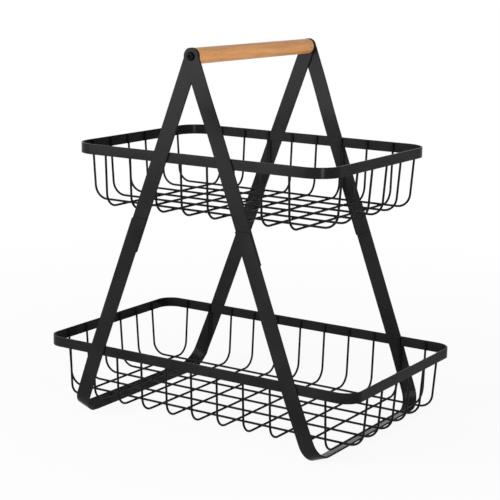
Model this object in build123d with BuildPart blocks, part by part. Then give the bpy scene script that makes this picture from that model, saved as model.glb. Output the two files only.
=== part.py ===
from build123d import *
from math import cos, radians, sin, tan
import os

# Two-tier wire basket for a counter top, carried by a wooden dowel handle.
# Millimetres. The origin is on the counter under the middle of the basket, +X runs along
# the baskets, +Y along the handle with the front at -Y, and +Z is up.

os.makedirs("parts", exist_ok=True)

# Driving sizes
bottom_rim_length = 401.0
top_rim_length = 326.0
dowel_length = 233.0
dowel_diameter = 17.0
leg_length = 438.5
leg_angle = 20.6
strap_width = 18.0
strap_thickness = 2.0
rim_height = 11.4
rim_thickness = 2.0
wire_diameter = 2.5

# The top tier hangs this far under the handle axis, and the bottom tier stands on the counter
top_rim_drop = 102.6
bottom_rim_top = 85.7
basket_depth = 69.9

# Each lap of an upper strap and a leg frame, measured down the leg from the handle axis
lap_start = 188.8
lap_length = 38.4

# The bottom rim springs the legs apart, and under it they lean in by this much on their way down
foot_set_in = 3.0
lean_in_margin = 2.0

# Wire mesh, with the distance from the end of each row to its first wire
top_cross_count = 8
bottom_cross_count = 11
long_count = 6
top_cross_margin = 46.0
bottom_cross_margin = 33.4
long_margin = 35.25
cross_taper_angle = 3.0
long_taper_angle = 4.5
wire_bend_radius = 16.0
wire_set_drop = 1.5
wire_end_drop = 1.0

# Flats round each wire, and facets along each of its bends
wire_flats = 8
bend_facets = 4

# Bends and corners of the flat strip
top_corner_radius = 28.0
bottom_corner_radius = 20.0
foot_bend_radius = 22.0
strap_corner_radius = 1.5

# Handle hardware
dowel_chamfer = 0.8
screw_diameter = 4.8
screw_length = 15.0
screw_hole_play = 0.35
head_diameter = 9.4
head_crown_diameter = 6.0
head_height = 2.6
head_rim_height = 0.8
socket_width = 3.6
socket_depth = 1.7
insert_diameter = 7.0
insert_bore = 5.0
insert_length = 12.0
insert_play = 0.05
insert_hole_extra = 4.0

# The sprung straps stay flat this far past the crossing and short of the rim
sprung_margin = 3.0

leg_sin = sin(radians(leg_angle))
leg_cos = cos(radians(leg_angle))
half_strap = strap_width / 2
wire_radius = wire_diameter / 2

# The inner edge of each tilted foot strip is what touches the counter
handle_height = leg_length * leg_cos + half_strap * leg_sin
top_rim_top = handle_height - top_rim_drop
lap_end = lap_start + lap_length

# Faces of the strap layers, outwards from the end of the dowel
inner_face = dowel_length / 2
middle_face = inner_face + strap_thickness
outer_face = middle_face + strap_thickness

long_pitch = (dowel_length - 2 * long_margin) / (long_count - 1)

sides = {"left": -1, "right": 1}
faces = {"front": -1, "back": 1}
sprung_side = "right"


def save(piece, name):
    piece.part.label = name
    export_step(piece.part, "parts/" + name + ".step")


def down_leg(side):
    """Direction down one leg, from the handle axis to the foot."""
    return (side * leg_sin, 0, -leg_cos)


def on_leg(side, distance, depth):
    """Point on a leg's centre line at a distance below the handle axis."""
    return (side * leg_sin * distance, depth, handle_height - leg_cos * distance)


# Wooden dowel with a blind hole in each end for a threaded insert
with BuildPart() as handle_dowel:
    with BuildSketch(Plane(origin=(0, -inner_face, handle_height), z_dir=(0, 1, 0))):
        Circle(dowel_diameter / 2)
    extrude(amount=dowel_length)
    chamfer(handle_dowel.edges().filter_by(GeomType.CIRCLE), length=dowel_chamfer)
    for face in faces.values():
        with BuildSketch(Plane(origin=(0, face * inner_face, handle_height), z_dir=(0, face, 0))):
            Circle(insert_diameter / 2 + insert_play)
        extrude(amount=-(insert_length + insert_hole_extra), mode=Mode.SUBTRACT)
save(handle_dowel, "handle_dowel")

for face_name, face in faces.items():
    # Threaded insert, flush with the end of the dowel
    with BuildPart() as handle_insert:
        with BuildSketch(Plane(origin=(0, face * inner_face, handle_height), z_dir=(0, face, 0))):
            Circle(insert_diameter / 2)
            Circle(insert_bore / 2, mode=Mode.SUBTRACT)
        extrude(amount=-insert_length)
    save(handle_insert, "handle_insert_" + face_name)

    # Button-head screw through both strap ends into the insert
    seat = (0, face * outer_face, handle_height)
    with BuildPart() as handle_screw:
        with BuildSketch(Plane(origin=seat, x_dir=(1, 0, 0), z_dir=(0, 0, face))):
            with BuildLine():
                Polyline(
                    (0, head_height),
                    (0, -screw_length),
                    (screw_diameter / 2, -screw_length),
                    (screw_diameter / 2, 0),
                    (head_diameter / 2, 0),
                    (head_diameter / 2, head_rim_height),
                    (head_crown_diameter / 2, head_height),
                    close=True,
                )
            make_face()
        revolve(axis=Axis(seat, (0, 1, 0)))
        with BuildSketch(Plane(origin=seat, z_dir=(0, face, 0)).offset(head_height)):
            RegularPolygon(socket_width / 2, 6, major_radius=False)
        extrude(amount=-socket_depth, mode=Mode.SUBTRACT)
    save(handle_screw, "handle_screw_" + face_name)

# Upper straps: a round end on the handle screw and a square end behind the leg frame. At each end
# of the handle the left strap lies flat against the dowel. The right one crosses over it and is
# sprung back by one thickness, so that both lie on the rim.
crossing = half_strap / tan(radians(leg_angle))
rim_reach = top_rim_drop / leg_cos - half_strap * tan(radians(leg_angle))
sprung_start = crossing + sprung_margin
sprung_end = rim_reach - sprung_margin
for face_name, face in faces.items():
    for side_name, side in sides.items():
        crosses_over = side_name == sprung_side
        strap_plane = Plane(
            origin=(0, face * inner_face, handle_height),
            x_dir=down_leg(side),
            z_dir=(0, face, 0),
        )
        profile_plane = Plane(
            origin=strap_plane.origin,
            x_dir=strap_plane.x_dir,
            z_dir=strap_plane.x_dir.cross(strap_plane.z_dir),
        )
        flat_middle = strap_thickness / 2
        over_middle = flat_middle + strap_thickness
        with BuildPart() as upper_strap:
            with BuildLine(profile_plane) as strap_line:
                if crosses_over:
                    top_run = Line((-strap_width, over_middle), (sprung_start, over_middle))
                    spring_middle = ((sprung_start + sprung_end) / 2, strap_thickness)
                    outward_arc = TangentArc(top_run @ 1, spring_middle, tangent=top_run % 1)
                    inward_arc = TangentArc(
                        outward_arc @ 1, (sprung_end, flat_middle), tangent=outward_arc % 1
                    )
                    Line(inward_arc @ 1, (lap_end, flat_middle))
                else:
                    Line((-strap_width, flat_middle), (lap_end, flat_middle))
            with BuildSketch(
                Plane(
                    origin=strap_line.line @ 0,
                    x_dir=(0, face, 0),
                    z_dir=down_leg(side),
                )
            ):
                Rectangle(strap_thickness, strap_width)
            sweep(path=strap_line.line)
            with BuildSketch(strap_plane) as outline:
                with Locations((lap_end / 2, 0)):
                    Rectangle(lap_end, strap_width)
                fillet(outline.vertices().sort_by(Axis.X)[-2:], radius=strap_corner_radius)
                Circle(half_strap)
                Circle(screw_diameter / 2 + screw_hole_play, mode=Mode.SUBTRACT)
            extrude(amount=3 * strap_thickness, both=True, mode=Mode.INTERSECT)
        save(upper_strap, "upper_strap_" + face_name + "_" + side_name)

# Leg frames: one strip bent the easy way, down the front, along the foot and up the back.
# The top ends are cut level. The foot keeps the lean of the legs, so it stands on its inner edge,
# and it is a little shorter than the space between the legs at the bottom rim.
leg_middle = middle_face + strap_thickness / 2
foot_middle = leg_length - strap_thickness / 2
foot_half = leg_middle - foot_set_in
uncut_start = lap_start - strap_width * tan(radians(leg_angle))
lap_level = handle_height - lap_start * leg_cos
bottom_rim_drop = handle_height - bottom_rim_top + rim_height
lean_in_start = bottom_rim_drop / leg_cos + half_strap * tan(radians(leg_angle)) + lean_in_margin
for side_name, side in sides.items():
    with BuildPart() as leg_frame:
        with BuildLine(
            Plane(
                origin=(0, 0, handle_height),
                x_dir=(0, 1, 0),
                z_dir=(-leg_cos, 0, -side * leg_sin),
            )
        ) as leg_line:
            FilletPolyline(
                (-leg_middle, uncut_start),
                (-leg_middle, lean_in_start),
                (-foot_half, foot_middle),
                (foot_half, foot_middle),
                (leg_middle, lean_in_start),
                (leg_middle, uncut_start),
                radius=foot_bend_radius,
            )
        with BuildSketch(
            Plane(
                origin=on_leg(side, uncut_start, -leg_middle),
                x_dir=(0, 1, 0),
                z_dir=down_leg(side),
            )
        ):
            Rectangle(strap_thickness, strap_width)
        sweep(path=leg_line.line)
        split(bisect_by=Plane.XY.offset(lap_level), keep=Keep.BOTTOM)
        end_corners = leg_frame.edges().filter_by(Axis.Y)
        fillet(
            end_corners.filter_by(lambda edge: edge.length < 2 * strap_thickness),
            radius=strap_corner_radius,
        )
    save(leg_frame, "leg_frame_" + side_name)


def make_rim(name, length, width, top, corner_radius):
    """Flat strip standing on edge, bent round into a rounded rectangle."""
    with BuildPart() as rim:
        with BuildSketch(Plane.XY.offset(top - rim_height)):
            RectangleRounded(length, width, corner_radius)
            RectangleRounded(
                length - 2 * rim_thickness,
                width - 2 * rim_thickness,
                corner_radius - rim_thickness,
                mode=Mode.SUBTRACT,
            )
        extrude(amount=rim_height)
    save(rim, name)


def make_wire(name, wire_plane, rim_half, rim_top, bottom, taper_angle):
    """Wire welded inside both sides of a rim, bent down, across the bottom and up again."""
    side_reach = rim_half - rim_thickness - wire_radius
    end_level = rim_top - wire_end_drop
    set_level = rim_top - rim_height - wire_set_drop
    bottom_reach = side_reach - (set_level - bottom) * tan(radians(taper_angle))
    bend_middle = bottom_reach - wire_bend_radius * tan(radians(90 - taper_angle) / 2)
    right_side = [(side_reach, end_level), (side_reach, set_level)]
    for facet in range(bend_facets + 1):
        lean = radians(90 - taper_angle) * (1 - facet / bend_facets)
        right_side.append(
            (
                bend_middle + wire_bend_radius * sin(lean),
                bottom + wire_bend_radius * (1 - cos(lean)),
            )
        )
    left_side = [(-across, up) for across, up in right_side]
    with BuildPart() as wire:
        with BuildLine(wire_plane) as wire_line:
            Polyline(*left_side, *reversed(right_side))
        with BuildSketch(
            Plane(origin=wire_line.line @ 0, x_dir=wire_plane.x_dir, z_dir=(0, 0, -1))
        ):
            RegularPolygon(wire_radius, wire_flats, major_radius=False, rotation=180 / wire_flats)
        sweep(path=wire_line.line, transition=Transition.RIGHT)
    save(wire, name)


def make_basket(tier, rim_length, rim_width, rim_top, corner_radius, cross_count, cross_margin):
    """Rim with cross wires along Y and, welded on top of them, long wires along X."""
    make_rim(tier + "_rim", rim_length, rim_width, rim_top, corner_radius)
    cross_bottom = rim_top - basket_depth + wire_radius
    long_bottom = cross_bottom + wire_diameter
    cross_pitch = (rim_length - 2 * cross_margin) / (cross_count - 1)
    for index in range(cross_count):
        x = cross_margin - rim_length / 2 + index * cross_pitch
        cross_plane = Plane(origin=(x, 0, 0), x_dir=(0, 1, 0), z_dir=(1, 0, 0))
        name = f"{tier}_cross_wire_{index + 1}"
        make_wire(
            name, cross_plane, rim_width / 2, rim_top, cross_bottom, cross_taper_angle
        )
    for index in range(long_count):
        y = long_margin - dowel_length / 2 + index * long_pitch
        long_plane = Plane(origin=(0, y, 0), x_dir=(1, 0, 0), z_dir=(0, -1, 0))
        name = f"{tier}_long_wire_{index + 1}"
        make_wire(name, long_plane, rim_length / 2, rim_top, long_bottom, long_taper_angle)


make_basket(
    "top",
    top_rim_length,
    2 * inner_face,
    top_rim_top,
    top_corner_radius,
    top_cross_count,
    top_cross_margin,
)
make_basket(
    "bottom",
    bottom_rim_length,
    2 * middle_face,
    bottom_rim_top,
    bottom_corner_radius,
    bottom_cross_count,
    bottom_cross_margin,
)
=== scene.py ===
from math import cos, pi, radians, sin, tan

import bmesh
import bpy
from mathutils import Matrix, Vector


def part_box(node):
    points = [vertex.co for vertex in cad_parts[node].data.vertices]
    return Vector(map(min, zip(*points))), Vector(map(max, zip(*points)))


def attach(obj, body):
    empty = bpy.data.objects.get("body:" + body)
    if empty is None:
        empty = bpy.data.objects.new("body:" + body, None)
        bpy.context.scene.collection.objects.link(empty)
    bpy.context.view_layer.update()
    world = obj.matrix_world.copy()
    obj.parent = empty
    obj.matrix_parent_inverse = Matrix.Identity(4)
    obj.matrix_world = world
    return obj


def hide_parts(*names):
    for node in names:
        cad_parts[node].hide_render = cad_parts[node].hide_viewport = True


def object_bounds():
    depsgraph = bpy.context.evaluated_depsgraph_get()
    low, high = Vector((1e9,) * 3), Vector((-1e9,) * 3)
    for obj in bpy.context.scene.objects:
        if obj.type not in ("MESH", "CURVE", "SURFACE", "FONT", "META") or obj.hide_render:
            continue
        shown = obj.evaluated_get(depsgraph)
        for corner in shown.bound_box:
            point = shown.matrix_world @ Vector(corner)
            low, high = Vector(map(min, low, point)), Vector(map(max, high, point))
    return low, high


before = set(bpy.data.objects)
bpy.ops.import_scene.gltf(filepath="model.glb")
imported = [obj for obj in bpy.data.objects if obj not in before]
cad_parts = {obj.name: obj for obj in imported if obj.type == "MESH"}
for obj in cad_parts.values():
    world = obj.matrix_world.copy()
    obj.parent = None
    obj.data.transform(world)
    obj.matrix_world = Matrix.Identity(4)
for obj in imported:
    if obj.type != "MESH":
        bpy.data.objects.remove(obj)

bl_info = {
    "name": "Tiered wire basket",
    "version": (1, 0, 0),
    "blender": (4, 5, 0),
    "location": "View3D > Sidebar > Basket",
    "description": "Builds the visible pieces of a two-tier wire basket round its frame",
    "category": "Add Mesh",
}

BODY = "root"
SIDES = {"left": -1, "right": 1}
FACES = {"front": -1, "back": 1}
SPRUNG_SIDE = "right"
X = Vector((1, 0, 0))
Y = Vector((0, 1, 0))
Z = Vector((0, 0, 1))

# Places that the frame gives
CAD_LOW, CAD_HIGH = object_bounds()
DOWEL_LOW, DOWEL_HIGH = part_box("handle_dowel")
HANDLE_HEIGHT = (DOWEL_LOW.z + DOWEL_HIGH.z) / 2
INNER_FACE = DOWEL_HIGH.y
STRAP_LOW, STRAP_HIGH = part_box("upper_strap_back_left")
STRAP_THICKNESS = STRAP_HIGH.y - STRAP_LOW.y
HALF_STRAP = STRAP_HIGH.z - HANDLE_HEIGHT
OUTER_FACE = INNER_FACE + 2 * STRAP_THICKNESS
TOP_RIM_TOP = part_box("top_rim")[1].z
BOTTOM_RIM_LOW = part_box("bottom_rim")[0].z

# Fineness of the meshes
DOWEL_SIDES = 72
SCREW_SIDES = 48
DOME_STEPS = 7
SOCKET_CORNER_STEP = pi / 3
HOLE_SIDES = 32
STRAP_ROWS = 28
WIRE_SIDES = 16
LEG_BEND_STEP = radians(7.5)
RIM_BEND_STEP = radians(6)
WIRE_BEND_STEP = radians(9)
SHARP = radians(60)
SMOOTH_BELOW = radians(50)
NEARLY_ALONG = 0.99
TINY = 1e-6
JOINT_GAP = 1e-5

# Studio
FLOOR_RADIUS = 30
FLOOR_SIDES = 64
SHADOW_ZONE = (0.25, 1.1)
SENSOR_WIDTH = 36

# Sockets of a Mix node that mixes colours
MIX_FACTOR, MIX_A, MIX_B, MIX_RESULT = 0, 6, 7, 2

VERT = bmesh.types.BMVert
EDGE = bmesh.types.BMEdge
FACE = bmesh.types.BMFace


# Properties


def length_value(name, description, default):
    return bpy.props.FloatProperty(
        name=name, description=description, default=default, min=0, unit="LENGTH", precision=5
    )


def angle_value(name, description, default):
    return bpy.props.FloatProperty(
        name=name, description=description, default=default, unit="ROTATION", subtype="ANGLE"
    )


def colour_value(name, description, default):
    return bpy.props.FloatVectorProperty(
        name=name, description=description, default=default, size=3, min=0, max=1, subtype="COLOR"
    )


def power_value(name, description, default):
    return bpy.props.FloatProperty(
        name=name, description=description, default=default, min=0, unit="POWER"
    )


def share_value(name, description, default):
    return bpy.props.FloatProperty(
        name=name, description=description, default=default, min=0, max=1, subtype="FACTOR"
    )


class BasketSizes(bpy.types.PropertyGroup):
    """Sizes of the strip, the wire and the hardware."""

    leg_angle: angle_value("Leg angle", "Lean of each leg from upright", radians(20.6))
    lap_start: length_value("Lap start", "Handle axis to the top of a leg frame", 0.1888)
    lap_length: length_value("Lap length", "Overlap of an upper strap and a leg frame", 0.0384)
    leg_length: length_value("Leg length", "Handle axis to the outside of the foot", 0.4385)
    foot_bend: length_value("Foot bend", "Radius of the bend above each foot", 0.022)
    foot_set_in: length_value("Foot set-in", "Lean of a leg towards its foot", 0.003)
    rim_clearance: length_value("Rim clearance", "Straight leg under the bottom rim", 0.002)
    strap_corner: length_value("Strap corner", "Radius of the corners of a strap end", 0.0011)
    strip_edge: length_value("Strip edge", "Rounding along the edges of the strip", 0.00035)
    strap_hole: length_value("Strap hole", "Diameter of the hole for the handle screw", 0.0055)
    sprung_margin: length_value("Sprung margin", "Flat length beside a sprung run", 0.003)
    top_corner: length_value("Top rim corner", "Outer corner radius of the top rim", 0.028)
    bottom_corner: length_value(
        "Bottom rim corner", "Outer corner radius of the bottom rim", 0.020
    )
    wire_set_drop: length_value("Wire set drop", "Rim edge to the set of a wire", 0.0015)
    wire_set_bend: length_value("Wire set bend", "Radius of a wire's set below the rim", 0.014)
    wire_bend: length_value("Wire bend", "Radius of a wire's bottom bends", 0.016)
    cross_taper: angle_value("Cross wire taper", "Lean of a cross wire's sides", radians(3.0))
    long_taper: angle_value("Long wire taper", "Lean of a long wire's sides", radians(4.5))
    wire_edge: length_value("Wire edge", "Rounding of a wire's cut end", 0.0006)
    weld_width: length_value("Weld width", "Width of the weld between two wires", 0.0021)
    weld_height: length_value("Weld height", "Height of the weld between two wires", 0.0015)
    rim_weld_length: length_value("Rim weld", "Length of the weld of a wire to a rim", 0.0085)
    dowel_edge: length_value("Dowel edge", "Rounding of the dowel's ends", 0.0008)
    insert_hole: length_value("Insert hole", "Diameter of the hole for an insert", 0.0071)
    insert_depth: length_value("Insert depth", "Depth of the hole for an insert", 0.016)
    screw_shank: length_value("Screw shank", "Diameter of the handle screw's shank", 0.0048)
    screw_crown: length_value("Screw crown", "Diameter of the flat on the screw head", 0.0046)
    screw_rim: length_value("Screw rim", "Height of the straight rim of the screw head", 0.0005)
    screw_edge: length_value("Screw edge", "Rounding of the screw's edges", 0.00015)
    screw_socket: length_value("Screw socket", "Width of the hexagon socket", 0.003)
    socket_depth: length_value("Socket depth", "Depth of the hexagon socket", 0.0017)


class BasketFinish(bpy.types.PropertyGroup):
    """Colours of the finishes."""

    coat: colour_value("Coat", "Black powder coat of the strip", (0.010, 0.010, 0.0102))
    wire_coat: colour_value("Wire coat", "Black powder coat of the wire", (0.007, 0.007, 0.0072))
    screw: colour_value("Screw", "Black finish of the screws", (0.0012, 0.0012, 0.0013))
    wood: colour_value("Wood", "Light part of the wood", (0.72, 0.338, 0.115))
    wood_dark: colour_value("Wood grain", "Dark part of the wood", (0.585, 0.26, 0.082))
    fleck: colour_value("Wood fleck", "Short dark flecks in the wood", (0.33, 0.14, 0.05))
    brass: colour_value("Brass", "Brass of the inserts", (0.72, 0.55, 0.26))
    floor: colour_value("Floor", "Pale floor", (0.86, 0.86, 0.86))


class BasketStudio(bpy.types.PropertyGroup):
    """Camera and light."""

    camera_turn: angle_value("Camera turn", "Turn of the camera to the right", radians(32.551))
    camera_pitch: angle_value("Camera pitch", "Camera's height above level", radians(11.688))
    camera_roll: angle_value("Camera roll", "Roll of the camera", radians(0.971))
    camera_distance: length_value("Camera distance", "Camera to its target", 1.62608)
    camera_shift: length_value("Target shift", "Target's place left of the middle", 0.000475)
    camera_drop: length_value("Target drop", "Target's place under the handle axis", 0.223207)
    lens: bpy.props.FloatProperty(
        name="Lens", description="Focal length of the camera", default=103.768, unit="CAMERA"
    )
    key_power: power_value("Key light", "Power of the large softbox at the front left", 80)
    strip_power: power_value("Strip light", "Power of the narrow lamp at the front right", 14)
    side_power: power_value("Side light", "Power of the softbox at the right", 1.0)
    top_power: power_value("Top light", "Power of the softbox overhead", 0.8)
    room_light: share_value("Room light", "Even light from all sides", 0.25)
    floor_glow: share_value("Floor glow", "Part of the floor's white that has no shadow", 0.92)


# Meshes: a face is carried along runs and bends, or lathed along an axis


def only(kind, geometry):
    """Elements of one kind from what a bmesh operator gives back."""
    return [element for element in geometry if isinstance(element, kind)]


def disc(bm, sides, radius, place):
    """One round face."""
    bmesh.ops.create_circle(bm, cap_ends=True, segments=sides, radius=radius, matrix=place)
    bm.faces.ensure_lookup_table()
    return bm.faces[0]


def strip_section(bm, middle, across, along_width, thickness, width):
    """One face of strip section, with the thickness along one axis and the width along another."""
    normal = across.cross(along_width)
    place = Matrix((across * thickness, along_width * width, normal)).transposed().to_4x4()
    place.translation = middle
    bmesh.ops.create_grid(bm, x_segments=1, y_segments=1, size=0.5, matrix=place)
    bm.faces.ensure_lookup_table()
    return bm.faces[0]


def push(bm, face, way):
    """Extrude a face by a vector and return the new end face."""
    # The edges are given too, because otherwise the old face stays behind inside the piece
    region = [face, *face.edges, *face.verts]
    new_face = only(FACE, bmesh.ops.extrude_face_region(bm, geom=region)["geom"])[0]
    bmesh.ops.translate(bm, vec=way, verts=list(new_face.verts))
    return new_face


def turn(bm, face, centre, axis, angle, steps):
    """Spin a face round an axis and return the new end face."""
    spun = bmesh.ops.spin(
        bm,
        geom=[face, *face.edges, *face.verts],
        cent=centre,
        axis=axis,
        dvec=(0, 0, 0),
        angle=angle,
        steps=steps,
        use_merge=False,
        use_normal_flip=False,
        use_duplicate=False,
    )["geom_last"]
    return only(FACE, spun)[0]


def carry(bm, face, corners, bend_radii, step_angle):
    """Carry a face along straight runs from corner to corner, with a round bend at each."""
    here = corners[0]
    heading = (corners[1] - corners[0]).normalized()
    for corner, after, radius in zip(corners[1:], corners[2:], bend_radii):
        turned = (after - corner).normalized()
        angle = heading.angle(turned)
        tangent = radius * tan(angle / 2)
        bend_start = corner - heading * tangent
        face = push(bm, face, bend_start - here)
        axis = heading.cross(turned).normalized()
        centre = bend_start + axis.cross(heading) * radius
        face = turn(bm, face, centre, axis, angle, max(1, round(angle / step_angle)))
        here = corner + turned * tangent
        heading = turned
    return push(bm, face, corners[-1] - here)


def lathe(bm, face, axis, profile):
    """Carry a round face along its axis through (distance, radius) stations."""
    centre = face.calc_center_median()
    radius = (face.verts[0].co - centre).length
    for distance, next_radius in profile:
        face = push(bm, face, axis * distance)
        centre = centre + axis * distance
        size = next_radius / radius
        bmesh.ops.scale(
            bm,
            vec=(size, size, size),
            space=Matrix.Translation(-centre),
            verts=list(face.verts),
        )
        radius = next_radius
    return face


def round_edges(bm, edges, offset, segments):
    bmesh.ops.bevel(
        bm,
        geom=edges,
        offset=offset,
        offset_type="OFFSET",
        segments=segments,
        profile=0.5,
        affect="EDGES",
        clamp_overlap=True,
        material=-1,
    )


def sharp_edges(bm):
    bmesh.ops.recalc_face_normals(bm, faces=bm.faces)
    return [edge for edge in bm.edges if edge.calc_face_angle(0) > SHARP]


def add_piece(name, bm, material, node=None):
    """Turn a bmesh into a shaded piece that rides on the body and stands for a node."""
    bmesh.ops.remove_doubles(bm, verts=bm.verts, dist=TINY)
    bmesh.ops.recalc_face_normals(bm, faces=bm.faces)
    mesh = bpy.data.meshes.new(name)
    bm.to_mesh(mesh)
    bm.free()
    mesh.shade_smooth()
    mesh.set_sharp_from_angle(angle=SMOOTH_BELOW)
    mesh.materials.append(material)
    piece = bpy.data.objects.new(name, mesh)
    bpy.context.scene.collection.objects.link(piece)
    normals = piece.modifiers.new("even_normals", "WEIGHTED_NORMAL")
    normals.keep_sharp = True
    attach(piece, BODY)
    if node:
        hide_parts(node)
    return piece


# Materials


def new_material(name):
    """A node material with its shader and its output, and nothing else."""
    material = bpy.data.materials.new(name)
    material.use_nodes = True
    nodes = material.node_tree.nodes
    nodes.clear()
    output = nodes.new("ShaderNodeOutputMaterial")
    shader = nodes.new("ShaderNodeBsdfPrincipled")
    material.node_tree.links.new(shader.outputs["BSDF"], output.inputs["Surface"])
    return material, nodes, material.node_tree.links, shader


def object_pattern(nodes, links, scale=(1, 1, 1)):
    """Object coordinates, stretched along an axis by a scale below one."""
    coordinates = nodes.new("ShaderNodeTexCoord")
    mapping = nodes.new("ShaderNodeMapping")
    mapping.inputs["Scale"].default_value = scale
    links.new(coordinates.outputs["Object"], mapping.inputs["Vector"])
    return mapping.outputs["Vector"]


def noise(nodes, links, vector, scale, detail, roughness=0.5):
    texture = nodes.new("ShaderNodeTexNoise")
    texture.inputs["Scale"].default_value = scale
    texture.inputs["Detail"].default_value = detail
    texture.inputs["Roughness"].default_value = roughness
    links.new(vector, texture.inputs["Vector"])
    return texture.outputs["Fac"]


def ramp(nodes, links, factor, stops):
    """A colour ramp with (place, colour) stops."""
    node = nodes.new("ShaderNodeValToRGB")
    for element, (place, colour) in zip(node.color_ramp.elements, stops):
        element.position = place
        element.color = (*colour, 1)
    links.new(factor, node.inputs["Fac"])
    return node.outputs["Color"]


def spread(nodes, links, value, source, target):
    """Map a value's range onto another."""
    node = nodes.new("ShaderNodeMapRange")
    for socket, end in zip(("From Min", "From Max", "To Min", "To Max"), (*source, *target)):
        node.inputs[socket].default_value = end
    links.new(value, node.inputs["Value"])
    return node.outputs["Result"]


def mix_colours(nodes, links, factor, first, second, blend="MIX"):
    """Mix two colours, each one a socket or a plain colour."""
    node = nodes.new("ShaderNodeMix")
    node.data_type = "RGBA"
    node.blend_type = blend
    for index, value in ((MIX_FACTOR, factor), (MIX_A, first), (MIX_B, second)):
        if isinstance(value, bpy.types.NodeSocket):
            links.new(value, node.inputs[index])
        elif index == MIX_FACTOR:
            node.inputs[index].default_value = value
        else:
            node.inputs[index].default_value = (*value, 1)
    return node.outputs[MIX_RESULT]


def bump(nodes, links, height, distance, strength, normal=None):
    node = nodes.new("ShaderNodeBump")
    node.inputs["Distance"].default_value = distance
    node.inputs["Strength"].default_value = strength
    links.new(height, node.inputs["Height"])
    if normal is not None:
        links.new(normal, node.inputs["Normal"])
    return node.outputs["Normal"]


def maths(nodes, links, operation, first, second):
    node = nodes.new("ShaderNodeMath")
    node.operation = operation
    links.new(first, node.inputs[0])
    links.new(second, node.inputs[1])
    return node.outputs["Value"]


def mix_shaders(nodes, links, factor, first, second):
    node = nodes.new("ShaderNodeMixShader")
    links.new(factor, node.inputs["Fac"])
    links.new(first, node.inputs[1])
    links.new(second, node.inputs[2])
    return node.outputs["Shader"]


def shade(colour, factor):
    return tuple(channel * factor for channel in colour)


def powder_coat(name, colour, roughness, gloss):
    """Satin black powder coat: fine orange peel, and a slow drift in colour and gloss."""
    material, nodes, links, shader = new_material(name)
    where = object_pattern(nodes, links)
    drift = noise(nodes, links, where, scale=22, detail=3)
    peel = noise(nodes, links, where, scale=620, detail=2, roughness=0.6)
    grain = noise(nodes, links, where, scale=2600, detail=1)
    tone = ramp(nodes, links, drift, ((0.32, shade(colour, 0.8)), (0.68, shade(colour, 1.22))))
    speck = spread(nodes, links, grain, (0.62, 0.74), (0.0, 0.25))
    base = mix_colours(nodes, links, speck, tone, shade(colour, 1.9))
    links.new(base, shader.inputs["Base Color"])
    links.new(spread(nodes, links, drift, (0.3, 0.7), roughness), shader.inputs["Roughness"])
    shader.inputs["Specular IOR Level"].default_value = gloss
    soft = bump(nodes, links, peel, distance=0.0002, strength=0.16)
    fine = bump(nodes, links, grain, distance=0.00006, strength=0.15, normal=soft)
    links.new(fine, shader.inputs["Normal"])
    return material


def strip_coat():
    """The coat that the straps, the leg frames and the rims share."""
    finish = bpy.context.scene.basket_finish
    return bpy.data.materials.get("strip_coat") or powder_coat(
        "strip_coat", finish.coat, roughness=(0.20, 0.28), gloss=0.03
    )


def beech(finish):
    """Light beech: slow growth rings along the dowel, fine pores and short dark flecks."""
    material, nodes, links, shader = new_material("beech")
    along = object_pattern(nodes, links, scale=(1, 0.05, 1))
    rings = nodes.new("ShaderNodeTexWave")
    rings.wave_type = "BANDS"
    rings.bands_direction = "DIAGONAL"
    rings.inputs["Scale"].default_value = 62
    rings.inputs["Distortion"].default_value = 5.5
    rings.inputs["Detail"].default_value = 3
    rings.inputs["Detail Scale"].default_value = 1.3
    links.new(along, rings.inputs["Vector"])
    streaks = noise(nodes, links, along, scale=420, detail=4, roughness=0.65)
    loose = object_pattern(nodes, links, scale=(1, 0.4, 1))
    blotch = noise(nodes, links, loose, scale=26, detail=2)
    ring_colour = ramp(
        nodes, links, rings.outputs["Fac"], ((0.1, finish.wood), (0.95, finish.wood_dark))
    )
    ring_amount = spread(nodes, links, blotch, (0.3, 0.7), (0.18, 0.6))
    base = mix_colours(nodes, links, ring_amount, finish.wood, ring_colour)
    streak_tones = ((0.3, (0.8, 0.77, 0.72)), (0.7, (1.06, 1.06, 1.06)))
    streak_colour = ramp(nodes, links, streaks, streak_tones)
    base = mix_colours(nodes, links, 0.75, base, streak_colour, "MULTIPLY")
    short = object_pattern(nodes, links, scale=(1, 0.11, 1))
    dashes = noise(nodes, links, short, scale=1500, detail=1)
    fleck = spread(nodes, links, dashes, (0.63, 0.72), (0.0, 0.6))
    base = mix_colours(nodes, links, fleck, base, finish.fleck)
    links.new(base, shader.inputs["Base Color"])
    links.new(spread(nodes, links, streaks, (0.3, 0.7), (0.5, 0.38)), shader.inputs["Roughness"])
    shader.inputs["Specular IOR Level"].default_value = 0.35
    pores = bump(nodes, links, streaks, distance=0.00012, strength=0.4)
    dents = bump(nodes, links, fleck, distance=0.00008, strength=0.3, normal=pores)
    links.new(dents, shader.inputs["Normal"])
    return material


def turned_brass(finish):
    """Brass with fine turning marks round the screw's axis."""
    material, nodes, links, shader = new_material("turned_brass")
    where = object_pattern(nodes, links, scale=(0.2, 1, 0.2))
    marks = noise(nodes, links, where, scale=3200, detail=2)
    tone = ramp(nodes, links, marks, ((0.3, shade(finish.brass, 0.82)), (0.7, finish.brass)))
    links.new(tone, shader.inputs["Base Color"])
    shader.inputs["Metallic"].default_value = 1
    links.new(spread(nodes, links, marks, (0.3, 0.7), (0.26, 0.4)), shader.inputs["Roughness"])
    links.new(
        bump(nodes, links, marks, distance=0.00003, strength=0.3), shader.inputs["Normal"]
    )
    return material


# Pieces


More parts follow.
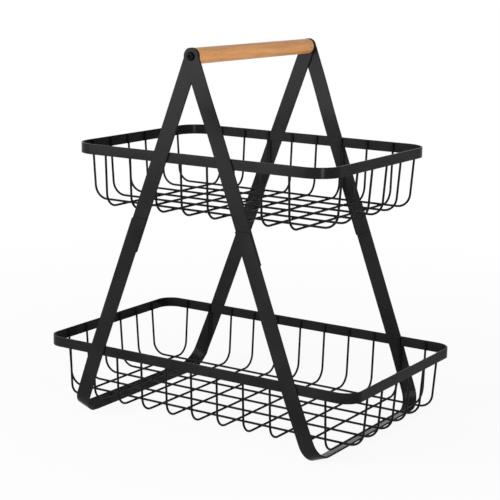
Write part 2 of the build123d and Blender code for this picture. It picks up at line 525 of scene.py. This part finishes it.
class BASKET_OT_handle(bpy.types.Operator):
    """Wooden dowel with its two brass inserts"""

    bl_idname = "basket.handle"
    bl_label = "Handle"

    def execute(self, context):
        sizes = context.scene.basket_sizes
        finish = context.scene.basket_finish
        bm = bmesh.new()
        front_end = Vector((0, -INNER_FACE, HANDLE_HEIGHT))
        start = Matrix.Translation(front_end) @ Matrix.Rotation(-pi / 2, 4, "X")
        end_face = disc(bm, DOWEL_SIDES, (DOWEL_HIGH.x - DOWEL_LOW.x) / 2, start)
        push(bm, end_face, Y * 2 * INNER_FACE)
        round_edges(bm, sharp_edges(bm), sizes.dowel_edge, segments=4)
        hole_radius = sizes.insert_hole / 2
        for end in [face for face in bm.faces if abs(face.normal.y) > NEARLY_ALONG]:
            inward = -end.normal.copy()
            lathe(bm, end, inward, ((0, hole_radius), (sizes.insert_depth, hole_radius)))
        add_piece("wooden_handle", bm, beech(finish), "handle_dowel")
        brass = turned_brass(finish)
        for face_name in FACES:
            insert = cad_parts["handle_insert_" + face_name]
            for slot in insert.material_slots:
                slot.material = brass
        return {"FINISHED"}


class BASKET_OT_handle_screws(bpy.types.Operator):
    """Button-head screws with a hexagon socket"""

    bl_idname = "basket.handle_screws"
    bl_label = "Handle screws"

    def execute(self, context):
        sizes = context.scene.basket_sizes
        finish = context.scene.basket_finish
        black = powder_coat("screw_coat", finish.screw, roughness=(0.36, 0.46), gloss=0.04)
        for face_name, face in FACES.items():
            node = "handle_screw_" + face_name
            low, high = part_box(node)
            bm = bmesh.new()
            self.shape(bm, sizes, low, high)
            outward = Matrix.Rotation(-face * pi / 2, 4, "X")
            bm.transform(Matrix.Translation((0, face * OUTER_FACE, HANDLE_HEIGHT)) @ outward)
            add_piece("button_screw_" + face_name, bm, black, node)
        return {"FINISHED"}

    def shape(self, bm, sizes, low, high):
        """Screw along +Z with the underside of its head at the origin."""
        head_radius = (high.x - low.x) / 2
        head_height = max(abs(low.y), abs(high.y)) - OUTER_FACE
        shank_length = OUTER_FACE - min(abs(low.y), abs(high.y))
        underside = disc(bm, SCREW_SIDES, head_radius, Matrix.Identity(4))
        dome = head_height - sizes.screw_rim
        crown = sizes.screw_crown / 2
        step = pi / 2 / DOME_STEPS
        profile = [(sizes.screw_rim, head_radius)]
        for number in range(1, DOME_STEPS + 1):
            rise = dome * (sin(number * step) - sin((number - 1) * step))
            profile.append((rise, crown + (head_radius - crown) * cos(number * step)))
        top = lathe(bm, underside, Z, profile)
        self.sink_socket(bm, push(bm, top, Vector()), sizes)
        shank = sizes.screw_shank / 2
        chamfer = shank / 4
        stations = ((0, shank), (shank_length - chamfer, shank), (chamfer, shank - chamfer))
        lathe(bm, underside, -Z, stations)
        round_edges(bm, sharp_edges(bm), sizes.screw_edge, segments=2)

    def sink_socket(self, bm, face, sizes):
        """Draw the inner ring of the crown to a hexagon and sink it, with a small point below."""
        flat = sizes.screw_socket / 2
        for vert in face.verts:
            bearing = vert.co.xy.angle_signed(X.xy) % SOCKET_CORNER_STEP - SOCKET_CORNER_STEP / 2
            vert.co.xy = vert.co.xy.normalized() * flat / cos(bearing)
        bottom = push(bm, face, -Z * sizes.socket_depth)
        lathe(bm, bottom, -Z, ((flat / 3, flat / 6),))


def widen(bm, edges, factor):
    """Extrude a ring of edges, scale the new ring and return its edges."""
    verts = only(VERT, bmesh.ops.extrude_edge_only(bm, edges=edges)["geom"])
    bmesh.ops.scale(bm, vec=(factor, factor, 1), verts=verts)
    return [edge for edge in bm.edges if all(vert in verts for vert in edge.verts)]


def strap_outline(bm, sizes, length):
    """Flat sheet along +X with a round end and a hole at the origin."""
    hole = sizes.strap_hole / 2
    bmesh.ops.create_circle(bm, cap_ends=False, segments=HOLE_SIDES, radius=hole)
    rim = widen(bm, list(bm.edges), HALF_STRAP / hole)
    half_round = [
        edge for edge in rim if min(vert.co.x for vert in edge.verts) > -hole / HOLE_SIDES
    ]
    shoulder = HALF_STRAP * 1.5
    for vert in only(VERT, bmesh.ops.extrude_edge_only(bm, edges=half_round)["geom"]):
        bearing = X.xy.angle_signed(vert.co.xy)
        vert.co = Vector((shoulder, -bearing / (pi / 2) * HALF_STRAP, 0))
    line = [edge for edge in bm.edges if all(vert.co.x > shoulder - TINY for vert in edge.verts)]
    step = (length - shoulder) / STRAP_ROWS
    for _ in range(STRAP_ROWS):
        grown = bmesh.ops.extrude_edge_only(bm, edges=line)["geom"]
        bmesh.ops.translate(bm, vec=X * step, verts=only(VERT, grown))
        line = [
            edge
            for edge in only(EDGE, grown)
            if abs(edge.verts[0].co.x - edge.verts[1].co.x) < step / 2
        ]


class BASKET_OT_upper_straps(bpy.types.Operator):
    """Four upper straps, two of them sprung over the other two"""

    bl_idname = "basket.upper_straps"
    bl_label = "Upper straps"

    def execute(self, context):
        sizes = context.scene.basket_sizes
        lean = sizes.leg_angle
        flat_start = HALF_STRAP / tan(lean) + sizes.sprung_margin
        rim_reach = (HANDLE_HEIGHT - TOP_RIM_TOP) / cos(lean) - HALF_STRAP * tan(lean)
        flat_end = rim_reach - sizes.sprung_margin
        for face_name, face in FACES.items():
            for side_name, side in SIDES.items():
                bm = bmesh.new()
                self.flat_strap(bm, sizes)
                if side_name == SPRUNG_SIDE:
                    for vert in bm.verts:
                        vert.co.z += self.lift(vert.co.x, flat_start, flat_end)
                down = Vector((side * sin(lean), 0, -cos(lean)))
                out = Y * face
                place = Matrix((down, out.cross(down), out)).transposed().to_4x4()
                place.translation = (0, face * INNER_FACE, HANDLE_HEIGHT)
                bm.transform(place)
                name = face_name + "_" + side_name
                add_piece("strap_" + name, bm, strip_coat(), "upper_strap_" + name)
        return {"FINISHED"}

    def flat_strap(self, bm, sizes):
        """Strap along +X from the handle axis, with its inner face at zero height."""
        length = sizes.lap_start + sizes.lap_length
        strap_outline(bm, sizes, length)
        grown = bmesh.ops.extrude_face_region(bm, geom=list(bm.faces))["geom"]
        bmesh.ops.translate(bm, vec=Z * STRAP_THICKNESS, verts=only(VERT, grown))
        corners = [
            edge
            for edge in bm.edges
            if all(
                vert.co.x > length - TINY and abs(vert.co.y) > HALF_STRAP - TINY
                for vert in edge.verts
            )
        ]
        round_edges(bm, corners, sizes.strap_corner, segments=4)
        round_edges(bm, sharp_edges(bm), sizes.strip_edge, segments=2)

    def lift(self, distance, flat_start, flat_end):
        """Height of a sprung strap over the strap that it crosses: two parabolas."""
        share = min(1, max(0, (distance - flat_start) / (flat_end - flat_start)))
        if share < 0.5:
            return STRAP_THICKNESS * (1 - 2 * share**2)
        return STRAP_THICKNESS * 2 * (1 - share) ** 2


class BASKET_OT_leg_frames(bpy.types.Operator):
    """Two strips bent down the front, along the foot and up the back"""

    bl_idname = "basket.leg_frames"
    bl_label = "Leg frames"

    def execute(self, context):
        sizes = context.scene.basket_sizes
        lean = sizes.leg_angle
        depth = INNER_FACE + STRAP_THICKNESS * 1.5
        foot = sizes.leg_length - STRAP_THICKNESS / 2
        rim_drop = HANDLE_HEIGHT - BOTTOM_RIM_LOW
        straight = rim_drop / cos(lean) + HALF_STRAP * tan(lean) + sizes.rim_clearance
        uncut = sizes.lap_start - 2 * HALF_STRAP * tan(lean)
        half_way = [(depth, uncut), (depth, straight), (depth - sizes.foot_set_in, foot)]
        bends = [sizes.foot_bend] * 4
        axis = Vector((0, 0, HANDLE_HEIGHT))
        for side_name, side in SIDES.items():
            down = Vector((side * sin(lean), 0, -cos(lean)))
            corners = [axis + down * distance - Y * out for out, distance in half_way]
            corners += [axis + down * distance + Y * out for out, distance in reversed(half_way)]
            bm = bmesh.new()
            section = strip_section(
                bm, corners[0], Y, down.cross(Y), STRAP_THICKNESS, 2 * HALF_STRAP
            )
            carry(bm, section, corners, bends, LEG_BEND_STEP)
            self.cut_level(bm, HANDLE_HEIGHT - sizes.lap_start * cos(lean))
            end_corners = [edge for edge in sharp_edges(bm) if self.is_end_corner(edge)]
            round_edges(bm, end_corners, sizes.strap_corner, segments=4)
            round_edges(bm, sharp_edges(bm), sizes.strip_edge, segments=2)
            name = "leg_frame_" + side_name
            add_piece("leg_strip_" + side_name, bm, strip_coat(), name)
        return {"FINISHED"}

    def cut_level(self, bm, height):
        """Cut both ends off level and close them."""
        cut = bmesh.ops.bisect_plane(
            bm,
            geom=[*bm.verts, *bm.edges, *bm.faces],
            plane_co=Z * height,
            plane_no=Z,
            clear_outer=True,
        )["geom_cut"]
        bmesh.ops.edgeloop_fill(bm, edges=only(EDGE, cut))

    def is_end_corner(self, edge):
        """Whether an edge runs through the thickness of the strip."""
        run = edge.verts[0].co - edge.verts[1].co
        return abs(run.normalized().y) > NEARLY_ALONG and run.length < 1.5 * STRAP_THICKNESS


class BASKET_OT_rims(bpy.types.Operator):
    """Two strips on edge, bent round into rounded rectangles"""

    bl_idname = "basket.rims"
    bl_label = "Rims"

    def execute(self, context):
        sizes = context.scene.basket_sizes
        for tier, outer_radius in (("top", sizes.top_corner), ("bottom", sizes.bottom_corner)):
            low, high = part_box(tier + "_rim")
            middle_height = (low.z + high.z) / 2
            reach_x = high.x - STRAP_THICKNESS / 2
            reach_y = high.y - STRAP_THICKNESS / 2
            start = Vector((0, reach_y, middle_height))
            corners = [start]
            for right, back in ((1, 1), (1, -1), (-1, -1), (-1, 1)):
                corners.append(Vector((right * reach_x, back * reach_y, middle_height)))
            corners.append(start)
            bm = bmesh.new()
            section = strip_section(bm, start, Y, Z, STRAP_THICKNESS, high.z - low.z)
            radii = [outer_radius - STRAP_THICKNESS / 2] * 4
            carry(bm, section, corners, radii, RIM_BEND_STEP)
            self.join_ends(bm)
            round_edges(bm, sharp_edges(bm), sizes.strip_edge, segments=2)
            add_piece(tier + "_band", bm, strip_coat(), tier + "_rim")
        return {"FINISHED"}

    def join_ends(self, bm):
        """Take both end faces away and merge their edges."""
        ends = [
            face
            for face in bm.faces
            if abs(face.calc_center_median().x) < TINY and face.calc_center_median().y > 0
        ]
        bmesh.ops.delete(bm, geom=ends, context="FACES_ONLY")
        bmesh.ops.remove_doubles(bm, verts=bm.verts, dist=JOINT_GAP)


def wire_nodes(tier, run):
    """Names of one row of wires, in order."""
    start = f"{tier}_{run}_wire_"
    names = [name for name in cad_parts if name.startswith(start)]
    return sorted(names, key=lambda name: int(name[len(start):]))


def wire_radius():
    low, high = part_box("top_cross_wire_1")
    return (high.x - low.x) / 2


class BASKET_OT_wires(bpy.types.Operator):
    """All wires of both tiers, each bent from one round wire"""

    bl_idname = "basket.wires"
    bl_label = "Wires"

    def execute(self, context):
        sizes = context.scene.basket_sizes
        finish = context.scene.basket_finish
        black = powder_coat("wire_coat", finish.wire_coat, roughness=(0.20, 0.28), gloss=0.03)
        runs = (("cross", Y, sizes.cross_taper), ("long", X, sizes.long_taper))
        for tier in ("top", "bottom"):
            set_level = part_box(tier + "_rim")[0].z - sizes.wire_set_drop
            for run, across, taper in runs:
                for node in wire_nodes(tier, run):
                    bm = bmesh.new()
                    self.bend(bm, sizes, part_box(node), across, set_level, taper)
                    name = node.replace("_wire_", "_rod_")
                    add_piece(name, bm, black, node)
        return {"FINISHED"}

    def bend(self, bm, sizes, box, across, set_level, taper):
        """Down from the rim, a slight set inwards, across the bottom and up again."""
        low, high = box
        radius = wire_radius()
        middle = (low + high) / 2
        reach = (high - low).dot(across) / 2 - radius
        bottom = low.z + radius
        bottom_reach = reach - (set_level - bottom) * tan(taper)
        half_way = ((reach, high.z), (reach, set_level), (bottom_reach, bottom))

        def corner(distance, height):
            place = middle + across * distance
            return Vector((place.x, place.y, height))

        corners = [corner(-distance, height) for distance, height in half_way]
        corners += [corner(distance, height) for distance, height in reversed(half_way)]
        cut_end = disc(bm, WIRE_SIDES, radius, Matrix.Translation(corners[0]))
        bends = (sizes.wire_set_bend, sizes.wire_bend, sizes.wire_bend, sizes.wire_set_bend)
        carry(bm, cut_end, corners, bends, WIRE_BEND_STEP)
        round_edges(bm, sharp_edges(bm), sizes.wire_edge, segments=3)


class BASKET_OT_welds(bpy.types.Operator):
    """Small welds where the wires cross and where they meet a rim"""

    bl_idname = "basket.welds"
    bl_label = "Welds"

    def execute(self, context):
        sizes = context.scene.basket_sizes
        black = bpy.data.materials["wire_coat"]
        thin = sizes.weld_height
        wide = sizes.weld_width
        tall = sizes.rim_weld_length
        for tier in ("top", "bottom"):
            rim_low, rim_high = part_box(tier + "_rim")
            rim_middle = (rim_low.z + rim_high.z) / 2
            bm = bmesh.new()
            cross_boxes = [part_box(node) for node in wire_nodes(tier, "cross")]
            long_boxes = [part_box(node) for node in wire_nodes(tier, "long")]
            for low, high in cross_boxes:
                for long_low, long_high in long_boxes:
                    x = (low.x + high.x) / 2
                    y = (long_low.y + long_high.y) / 2
                    self.bead(bm, (x, y, low.z + 2 * wire_radius()), (wide, wide, thin))
            for side in SIDES.values():
                for low, high in cross_boxes:
                    place = ((low.x + high.x) / 2, side * high.y, rim_middle)
                    self.bead(bm, place, (wide, thin, tall))
                for low, high in long_boxes:
                    place = (side * high.x, (low.y + high.y) / 2, rim_middle)
                    self.bead(bm, place, (thin, wide, tall))
            add_piece(tier + "_welds", bm, black)
        return {"FINISHED"}

    def bead(self, bm, place, size):
        """One smooth bead with the given size along each axis."""
        shape = Matrix.Translation(place) @ Matrix.Diagonal((*size, 1))
        bmesh.ops.create_uvsphere(bm, u_segments=8, v_segments=6, radius=0.5, matrix=shape)


# Stage


def background_rays(nodes, links):
    """One for camera, glossy and transmission rays, which see the white background."""
    rays = nodes.new("ShaderNodeLightPath").outputs
    seen = maths(nodes, links, "MAXIMUM", rays["Is Camera Ray"], rays["Is Glossy Ray"])
    return maths(nodes, links, "MAXIMUM", seen, rays["Is Transmission Ray"])


def floor_material(colour, glow):
    """Pale floor that keeps the shadow near the basket and fades to plain white."""
    material, nodes, links, shader = new_material("pale_floor")
    shader.inputs["Base Color"].default_value = (*colour, 1)
    shader.inputs["Roughness"].default_value = 0.9
    shader.inputs["Specular IOR Level"].default_value = 0.0
    coordinates = nodes.new("ShaderNodeTexCoord")
    distance = nodes.new("ShaderNodeVectorMath")
    distance.operation = "LENGTH"
    links.new(coordinates.outputs["Object"], distance.inputs[0])
    share = spread(nodes, links, distance.outputs["Value"], SHADOW_ZONE, (glow, 1.0))
    amount = maths(nodes, links, "MULTIPLY", background_rays(nodes, links), share)
    white = nodes.new("ShaderNodeEmission")
    white.inputs["Strength"].default_value = 1
    surface = mix_shaders(
        nodes, links, amount, shader.outputs["BSDF"], white.outputs["Emission"]
    )
    output = next(node for node in nodes if node.type == "OUTPUT_MATERIAL")
    links.new(surface, output.inputs["Surface"])
    return material


def room(strength):
    """Even room light, with a white backdrop for camera, glossy and transmission rays."""
    world = bpy.data.worlds.new("studio_room")
    world.use_nodes = True
    nodes = world.node_tree.nodes
    links = world.node_tree.links
    nodes.clear()
    whites = []
    for white_strength in (strength, 1):
        white = nodes.new("ShaderNodeBackground")
        white.inputs["Color"].default_value = (1, 1, 1, 1)
        white.inputs["Strength"].default_value = white_strength
        whites.append(white.outputs["Background"])
    surface = mix_shaders(nodes, links, background_rays(nodes, links), *whites)
    output = nodes.new("ShaderNodeOutputWorld")
    links.new(surface, output.inputs["Surface"])
    bpy.context.scene.world = world


def softbox(name, place, target_height, width, height, power):
    """Area lamp that faces a point over the middle of the floor, and isn't in view itself."""
    lamp = bpy.data.lights.new(name, "AREA")
    lamp.shape = "RECTANGLE"
    lamp.size = width
    lamp.size_y = height
    lamp.energy = power
    stand = bpy.data.objects.new(name, lamp)
    bpy.context.scene.collection.objects.link(stand)
    stand.location = place
    stand.visible_camera = False
    aim = Vector((0, 0, target_height)) - stand.location
    stand.rotation_euler = aim.to_track_quat("-Z", "Y").to_euler()


class BASKET_OT_stage(bpy.types.Operator):
    """Floor, room light, softboxes and camera"""

    bl_idname = "basket.stage"
    bl_label = "Stage"

    def execute(self, context):
        studio = context.scene.basket_studio
        self.floor(context, studio)
        room(studio.room_light)
        self.lamps(studio)
        self.camera(context, studio)
        context.scene.view_settings.view_transform = "Standard"
        return {"FINISHED"}

    def floor(self, context, studio):
        bm = bmesh.new()
        disc(bm, FLOOR_SIDES, FLOOR_RADIUS, Matrix.Identity(4))
        mesh = bpy.data.meshes.new("floor")
        bm.to_mesh(mesh)
        bm.free()
        mesh.materials.append(
            floor_material(context.scene.basket_finish.floor, studio.floor_glow)
        )
        floor = bpy.data.objects.new("floor", mesh)
        context.scene.collection.objects.link(floor)

    def lamps(self, studio):
        middle = CAD_HIGH.z / 2
        softbox(
            "key_softbox",
            place=(-1.29, -2.02, 0.75),
            target_height=middle,
            width=1.5,
            height=1.5,
            power=studio.key_power,
        )
        softbox(
            "strip_softbox",
            place=(1.278, -0.963, 0.25),
            target_height=0.25,
            width=0.03,
            height=0.4,
            power=studio.strip_power,
        )
        softbox(
            "side_softbox",
            place=(0.85, -0.25, 0.85),
            target_height=middle,
            width=0.7,
            height=0.7,
            power=studio.side_power,
        )
        softbox(
            "top_softbox",
            place=(0.1, 0.0, 1.5),
            target_height=middle,
            width=0.9,
            height=0.9,
            power=studio.top_power,
        )

    def camera(self, context, studio):
        yaw, pitch, roll = studio.camera_turn, studio.camera_pitch, studio.camera_roll
        back = Vector((sin(yaw) * cos(pitch), -cos(yaw) * cos(pitch), sin(pitch)))
        right = Vector((cos(yaw), sin(yaw), 0))
        up = back.cross(right)
        target = Vector((0, 0, HANDLE_HEIGHT - studio.camera_drop)) - right * studio.camera_shift
        rolled_right = right * cos(roll) + up * sin(roll)
        rolled_up = up * cos(roll) - right * sin(roll)
        lens = bpy.data.cameras.new("camera")
        lens.lens = studio.lens
        lens.sensor_width = SENSOR_WIDTH
        camera = bpy.data.objects.new("camera", lens)
        context.scene.collection.objects.link(camera)
        place = Matrix((rolled_right, rolled_up, back)).transposed().to_4x4()
        place.translation = target + back * studio.camera_distance
        camera.matrix_world = place
        context.scene.camera = camera


class BASKET_PT_panel(bpy.types.Panel):
    """Pieces of the basket, in the order in which they are made"""

    bl_idname = "BASKET_PT_panel"
    bl_label = "Tiered wire basket"
    bl_space_type = "VIEW_3D"
    bl_region_type = "UI"
    bl_category = "Basket"

    def draw(self, context):
        for operator in OPERATORS:
            self.layout.operator(operator.bl_idname)
        for group_name, group in GROUPS.items():
            for name in group.__annotations__:
                self.layout.prop(getattr(context.scene, group_name), name)


GROUPS = {
    "basket_sizes": BasketSizes,
    "basket_finish": BasketFinish,
    "basket_studio": BasketStudio,
}
OPERATORS = (
    BASKET_OT_handle,
    BASKET_OT_handle_screws,
    BASKET_OT_upper_straps,
    BASKET_OT_leg_frames,
    BASKET_OT_rims,
    BASKET_OT_wires,
    BASKET_OT_welds,
    BASKET_OT_stage,
)


def register():
    for item in (*GROUPS.values(), *OPERATORS, BASKET_PT_panel):
        bpy.utils.register_class(item)
    for name, group in GROUPS.items():
        setattr(bpy.types.Scene, name, bpy.props.PointerProperty(type=group))


def unregister():
    for name in GROUPS:
        delattr(bpy.types.Scene, name)
    for item in (BASKET_PT_panel, *reversed(OPERATORS), *reversed(GROUPS.values())):
        bpy.utils.unregister_class(item)


def main():
    register()
    bpy.ops.basket.handle()
    bpy.ops.basket.handle_screws()
    bpy.ops.basket.upper_straps()
    bpy.ops.basket.leg_frames()
    bpy.ops.basket.rims()
    bpy.ops.basket.wires()
    bpy.ops.basket.welds()
    bpy.ops.basket.stage()


if __name__ == "__main__":
    main()
